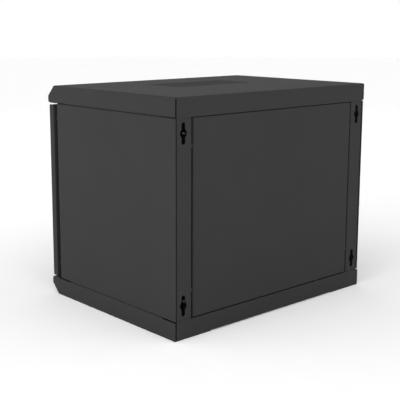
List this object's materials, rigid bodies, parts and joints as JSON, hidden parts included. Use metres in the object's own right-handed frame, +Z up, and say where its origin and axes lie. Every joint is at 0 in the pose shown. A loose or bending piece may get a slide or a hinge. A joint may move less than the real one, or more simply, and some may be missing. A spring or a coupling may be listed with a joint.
{
  "type": "wall mount network cabinet",
  "caption": "Wall-mount steel cabinet for 19-inch network equipment: folded covers, inset side and rear panels, slotted keyholes, and a hinged glass door with a cam lock.",
  "frame": {"origin": "middle of the underside of the bottom cover, halfway between the cover's front and rear flanges", "axes": "+Z up; +Y from the door to the wall; +X to the right of a person facing the door"},
  "size_m": [0.6, 0.45, 0.5],
  "materials": {
    "cover_paint": "matte black powder coat on folded steel",
    "panel_paint": "matte black powder coat on steel sheet",
    "door_paint": "matte black powder coat on steel",
    "rail_zinc": "bright zinc plating",
    "fixing_zinc": "bright zinc plating",
    "smoked_glass": "smoked tempered glass",
    "rubber": "black rubber",
    "nylon": "natural nylon",
    "lock_chrome": "bright chrome plating on die-cast zinc",
    "brass": "bare brass",
    "spring_steel": "spring steel wire"
  },
  "bodies": {
    "cabinet": {"top_cover": "cover_paint", "bottom_cover": "cover_paint", "front_post_right": "panel_paint", "front_post_left": "panel_paint", "lock_keeper": "panel_paint", "rear_post_right": "panel_paint", "rear_post_left": "panel_paint", "side_panel_right": "panel_paint", "side_panel_left": "panel_paint", "rear_panel": "panel_paint", "depth_bar_lower_right": "panel_paint", "depth_bar_lower_left": "panel_paint", "depth_bar_upper_right": "panel_paint", "depth_bar_upper_left": "panel_paint", "front_rail_right": "rail_zinc", "front_rail_left": "rail_zinc", "rear_rail_right": "rail_zinc", "rear_rail_left": "rail_zinc", "door_bumpers": "rubber", "lower_hinge_pin": "fixing_zinc", "hinge_washer": "nylon", "post_studs": "fixing_zinc", "post_nuts": "fixing_zinc", "bar_bolts": "fixing_zinc", "bar_nuts": "fixing_zinc", "rail_bolts": "fixing_zinc", "rail_nuts": "fixing_zinc", "side_panel_screws": "fixing_zinc", "rivet_nuts": "panel_paint", "rear_panel_screws": "fixing_zinc", "earth_stud": "fixing_zinc", "earth_washer": "brass", "earth_nut": "brass"},
    "door": {"door_frame": "door_paint", "glass_gasket": "rubber", "door_glass": "smoked_glass", "glass_clips": "fixing_zinc", "clip_studs": "fixing_zinc", "clip_nuts": "fixing_zinc", "hinge_bush": "nylon", "hinge_pin_bracket": "door_paint", "hinge_pin_spring": "spring_steel", "lock_body": "lock_chrome", "lock_nut": "fixing_zinc"},
    "hinge_pin": {"sprung_hinge_pin": "fixing_zinc"},
    "lock_core": {"lock_plug": "lock_chrome", "lock_cam": "fixing_zinc", "cam_screw": "fixing_zinc"}
  },
  "joints": [
    {"name": "door_hinge", "type": "hinge", "parent": "cabinet", "child": "door", "pos_m": [-0.289, -0.213, 0.25], "axis": [0, 0, -1], "range_deg": [0, 180]},
    {"name": "hinge_pin_slide", "type": "slide", "parent": "door", "child": "hinge_pin", "axis": [0, 0, -1], "range_m": [0, 0.008], "stiffness_N_per_m": 400, "springref_m": -0.01, "deforming": ["hinge_pin_spring"]},
    {"name": "lock_turn", "type": "hinge", "parent": "door", "child": "lock_core", "pos_m": [0.268, -0.225, 0.25], "axis": [0, -1, 0], "range_deg": [0, 90]}
  ]
}
